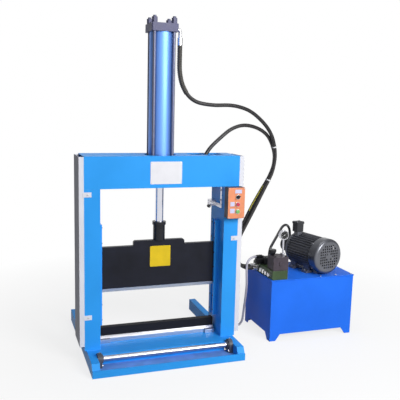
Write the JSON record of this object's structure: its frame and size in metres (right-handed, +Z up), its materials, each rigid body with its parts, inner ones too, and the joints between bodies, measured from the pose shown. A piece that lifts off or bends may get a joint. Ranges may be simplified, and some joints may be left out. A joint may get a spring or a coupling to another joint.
{
  "type": "hydraulic bale cutter",
  "caption": "Upright hydraulic cutter for rubber bales: a gantry with a tie-rod cylinder drives a wide knife on to a board; hoses join it to its own power pack.",
  "frame": {"origin": "on the floor, at the middle of the front bar's underside", "axes": "+X to the right seen from the operator's side, +Y from the operator to the back, +Z up"},
  "size_m": [1.951, 1.021, 2.14],
  "materials": {
    "frame_paint": "gloss",
    "tank_paint": "gloss",
    "cover_sheet": "satin",
    "box_paint": "satin",
    "panel_paint": "satin",
    "bright_steel": "ground",
    "chrome": "polished",
    "knife_paint": "satin",
    "cap_steel": "machined",
    "cast_grey": "painted",
    "fan_cover_paint": "satin",
    "black_plastic": "moulded",
    "board_plastic": "sawn",
    "red_plastic": "moulded",
    "green_plastic": "moulded",
    "hose_rubber": "matt",
    "conduit_plastic": "smooth",
    "manifold_paint": "satin",
    "relief_cast": "cast"
  },
  "bodies": {
    "machine": {"left_skid": "frame_paint", "right_skid": "frame_paint", "front_bar": "frame_paint", "tray_floor": "frame_paint", "deck_plate": "frame_paint", "left_post": "frame_paint", "right_post": "frame_paint", "beam_front_plate": "frame_paint", "beam_rear_plate": "frame_paint", "cylinder_mount_plate": "frame_paint", "beam_top_cover": "frame_paint", "left_side_cover": "cover_sheet", "right_side_cover": "cover_sheet", "cover_screws": "bright_steel", "knife_guides": "frame_paint", "bed_bars": "bright_steel", "cutting_board": "board_plastic", "roller_bearings": "cast_grey", "cylinder_tube": "frame_paint", "cylinder_cap": "cap_steel", "cylinder_head": "cast_grey", "tie_rods": "frame_paint", "tie_rod_nuts": "cast_grey", "port_fittings": "bright_steel", "control_box": "box_paint", "control_panel": "panel_paint", "button_collars": "bright_steel", "limit_switch": "bright_steel", "upper_hose": "hose_rubber", "lower_hose": "hose_rubber", "tank_shell": "tank_paint", "tank_lid": "tank_paint", "lid_screws": "bright_steel", "motor_frame": "cast_grey", "motor_end_shields": "cast_grey", "fan_cover": "fan_cover_paint", "terminal_box": "cast_grey", "bell_housing": "cast_grey", "pump": "cast_grey", "manifold_block": "manifold_paint", "hose_fittings": "bright_steel", "relief_valve": "relief_cast", "directional_valve": "cast_grey", "solenoids": "black_plastic", "pressure_gauge": "cast_grey", "pressure_hose": "hose_rubber", "control_conduit": "conduit_plastic"},
    "ram": {"piston": "cast_grey", "piston_rod": "chrome", "rod_coupling": "knife_paint", "knife": "knife_paint"},
    "roller": {"bale_roller": "chrome"},
    "rotor": {"motor_shaft": "bright_steel", "cooling_fan": "black_plastic"},
    "selector": {"selector_knob": "black_plastic"},
    "stop_button": {"red_button": "red_plastic"},
    "start_button": {"green_button": "green_plastic"},
    "lever": {"limit_lever": "cast_grey"},
    "lever_wheel": {"limit_roller": "black_plastic"},
    "adjuster": {"relief_knob": "black_plastic"}
  },
  "joints": [
    {"name": "ram_slide", "type": "slide", "parent": "machine", "child": "ram", "axis": [0, 0, 1], "range_m": [-0.229, 0.225]},
    {"name": "roller_turn", "type": "hinge", "parent": "machine", "child": "roller", "pos_m": [0, 0.121, 0.065], "axis": [1, 0, 0], "continuous": true},
    {"name": "rotor_turn", "type": "hinge", "parent": "machine", "child": "rotor", "pos_m": [1.226, 0.261, 0.571], "axis": [-0.225, 0.9744, 0], "continuous": true},
    {"name": "selector_turn", "type": "hinge", "parent": "machine", "child": "selector", "pos_m": [0.468, 0.161, 1.037], "axis": [0, 1, 0], "range_deg": [-90, 0]},
    {"name": "stop_push", "type": "slide", "parent": "machine", "child": "stop_button", "axis": [0, 1, 0], "range_m": [0, 0.004], "stiffness_N_per_m": 800, "springref_m": -0.002},
    {"name": "start_push", "type": "slide", "parent": "machine", "child": "start_button", "axis": [0, 1, 0], "range_m": [0, 0.004], "stiffness_N_per_m": 800, "springref_m": -0.002},
    {"name": "lever_swing", "type": "hinge", "parent": "machine", "child": "lever", "pos_m": [0.384, 0.373, 0.966], "axis": [0, 1, 0], "range_deg": [0, 25], "stiffness_Nm_per_rad": 0.3, "springref_deg": -17.19},
    {"name": "lever_wheel_turn", "type": "hinge", "parent": "lever", "child": "lever_wheel", "pos_m": [0.344, 0.358, 0.95], "axis": [0, 1, 0], "continuous": true},
    {"name": "adjuster_turn", "type": "hinge", "parent": "machine", "child": "adjuster", "pos_m": [0.809, 0.319, 0.595], "axis": [0, 0, 1], "range_deg": [-360, 360]}
  ]
}
